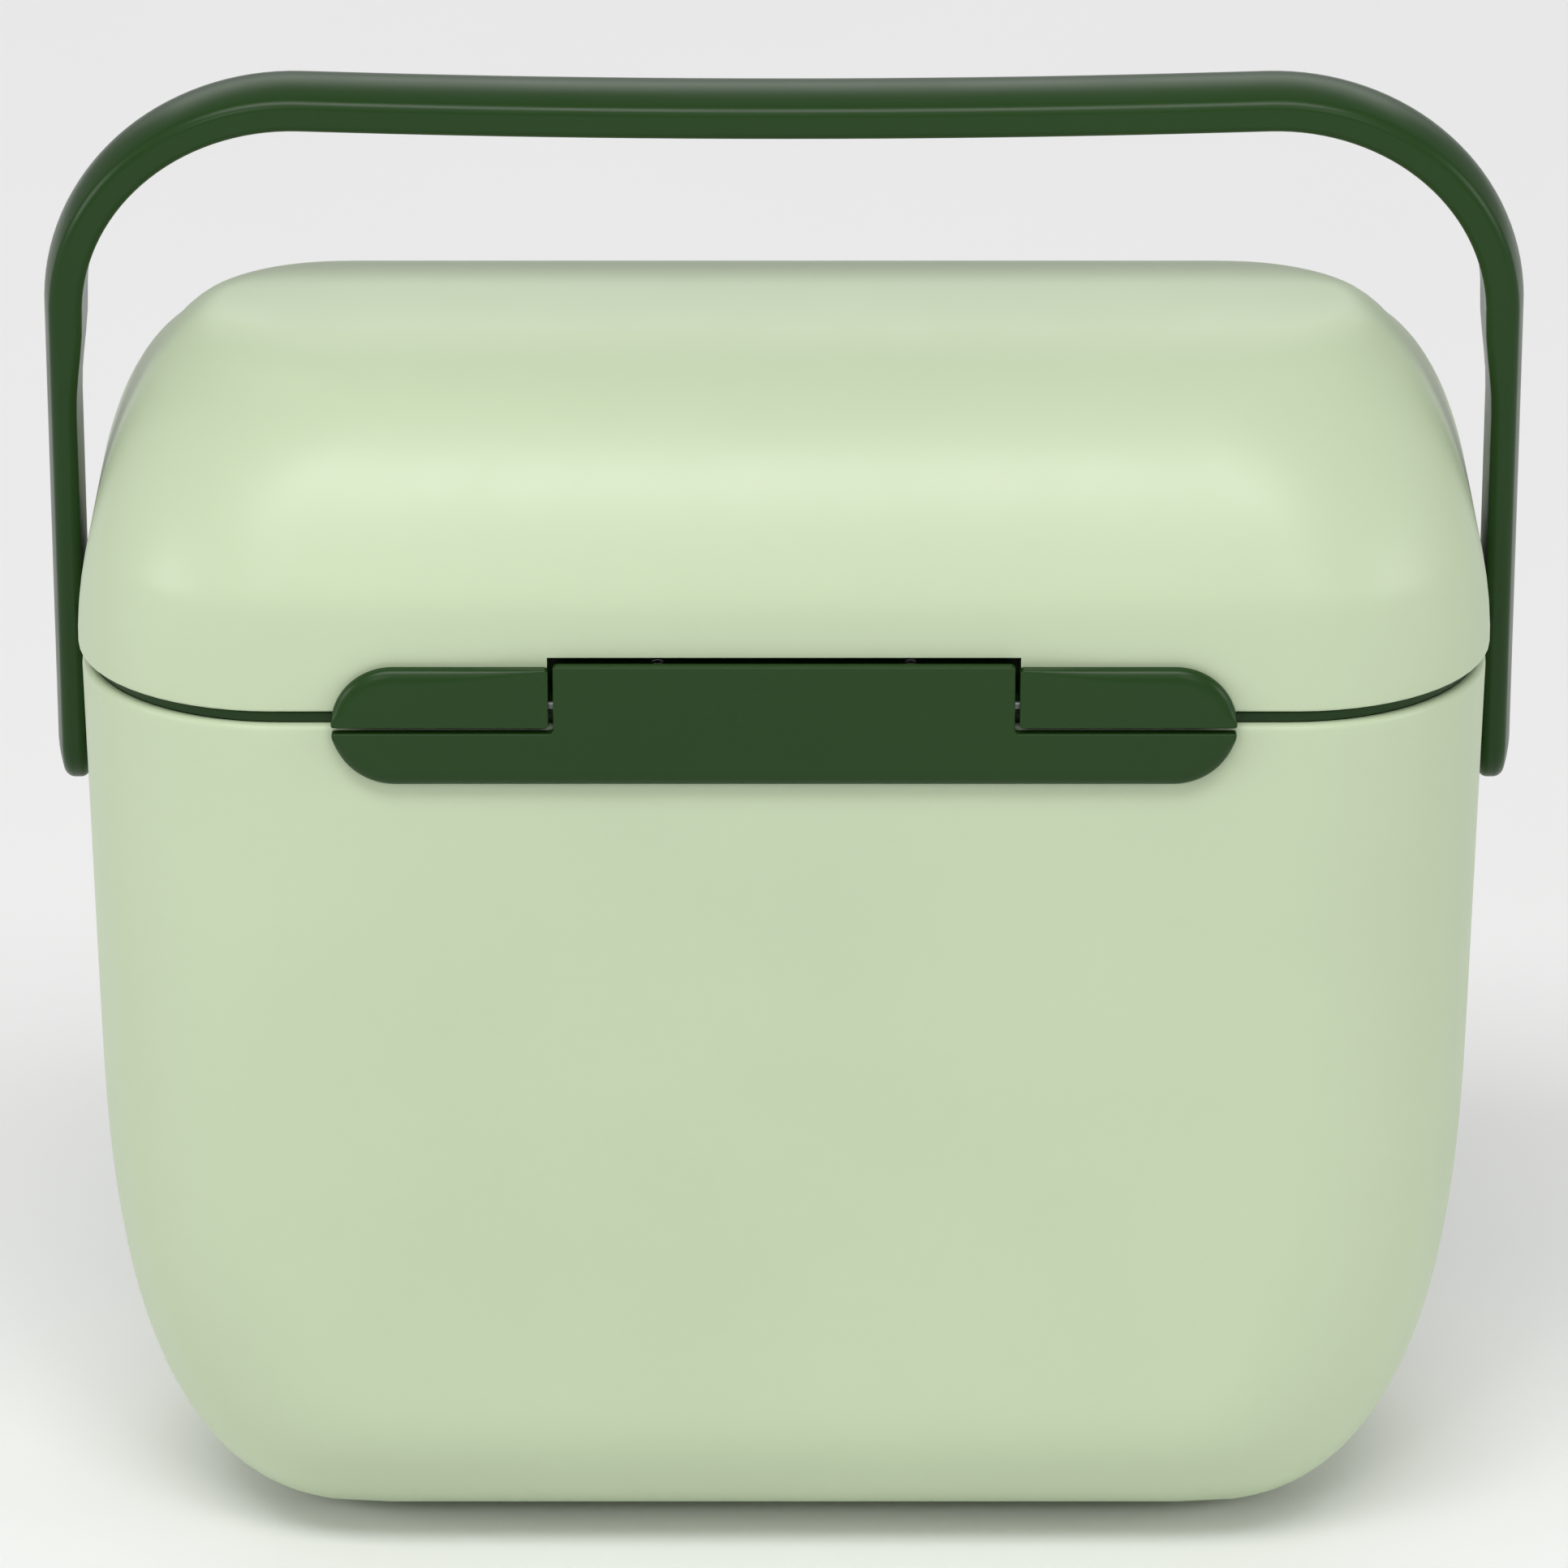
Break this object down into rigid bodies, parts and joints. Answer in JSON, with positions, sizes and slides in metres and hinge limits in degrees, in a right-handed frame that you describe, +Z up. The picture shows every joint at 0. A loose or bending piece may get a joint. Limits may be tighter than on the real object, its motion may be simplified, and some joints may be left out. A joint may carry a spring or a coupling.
{
  "type": "insulated cooler box",
  "caption": "Hard-sided insulated cooler box with a vaulted hinged lid, a wide front toggle latch and a swing-over bail handle.",
  "frame": {"origin": "on the floor under the middle of the box: centre of the bounding box in X and Y, underside of the feet in Z", "axes": "+Z up, the front with the latch faces -Y, +X to the right seen from the front, +Y through the shallow depth to the hinge"},
  "size_m": [0.3564, 0.1659, 0.3607],
  "materials": {
    "sage_shell": "satin",
    "green_plastic": "satin",
    "foam_core": "matte",
    "liner_plastic": "satin",
    "bearing_plastic": "satin",
    "steel_hardware": "satin",
    "rubber_feet": "matte",
    "gasket_rubber": "matte"
  },
  "bodies": {
    "body": {"body_shell": "sage_shell", "body_insulation": "foam_core", "body_liner": "liner_plastic", "rim_collar": "green_plastic", "latch_catch": "green_plastic", "catch_screw_left": "steel_hardware", "catch_screw_right": "steel_hardware", "foot_front_left": "rubber_feet", "foot_front_right": "rubber_feet", "foot_back_left": "rubber_feet", "foot_back_right": "rubber_feet", "hinge_body_leaf": "green_plastic", "hinge_body_screw_left": "steel_hardware", "hinge_body_screw_middle": "steel_hardware", "hinge_body_screw_right": "steel_hardware", "hinge_pin": "steel_hardware", "pivot_stub_left": "steel_hardware", "pivot_stub_right": "steel_hardware", "pivot_washer_left": "bearing_plastic", "pivot_washer_right": "bearing_plastic"},
    "lid": {"lid_shell": "sage_shell", "lid_insulation": "foam_core", "lid_liner": "liner_plastic", "lid_gasket": "gasket_rubber", "latch_bracket": "green_plastic", "latch_pin": "steel_hardware", "bracket_screw_left": "steel_hardware", "bracket_screw_right": "steel_hardware", "hinge_lid_leaf": "green_plastic", "hinge_lid_screw_left": "steel_hardware", "hinge_lid_screw_middle": "steel_hardware", "hinge_lid_screw_right": "steel_hardware"},
    "latch": {"latch_lever": "green_plastic"},
    "handle": {"handle_bail": "green_plastic", "pivot_bush_left": "bearing_plastic", "pivot_bush_right": "bearing_plastic"}
  },
  "joints": [
    {"name": "lid_hinge", "type": "hinge", "parent": "body", "child": "lid", "pos_m": [0, 0.0794, 0.2281], "axis": [-1, 0, 0], "range_deg": [0, 25]},
    {"name": "latch_pivot", "type": "hinge", "parent": "lid", "child": "latch", "pos_m": [0, -0.0802, 0.232], "axis": [-1, 0, 0], "range_deg": [0, 85]},
    {"name": "handle_swing", "type": "hinge", "parent": "body", "child": "handle", "pos_m": [0, 0, 0.1936], "axis": [1, 0, 0], "range_deg": [-140, 140]}
  ]
}
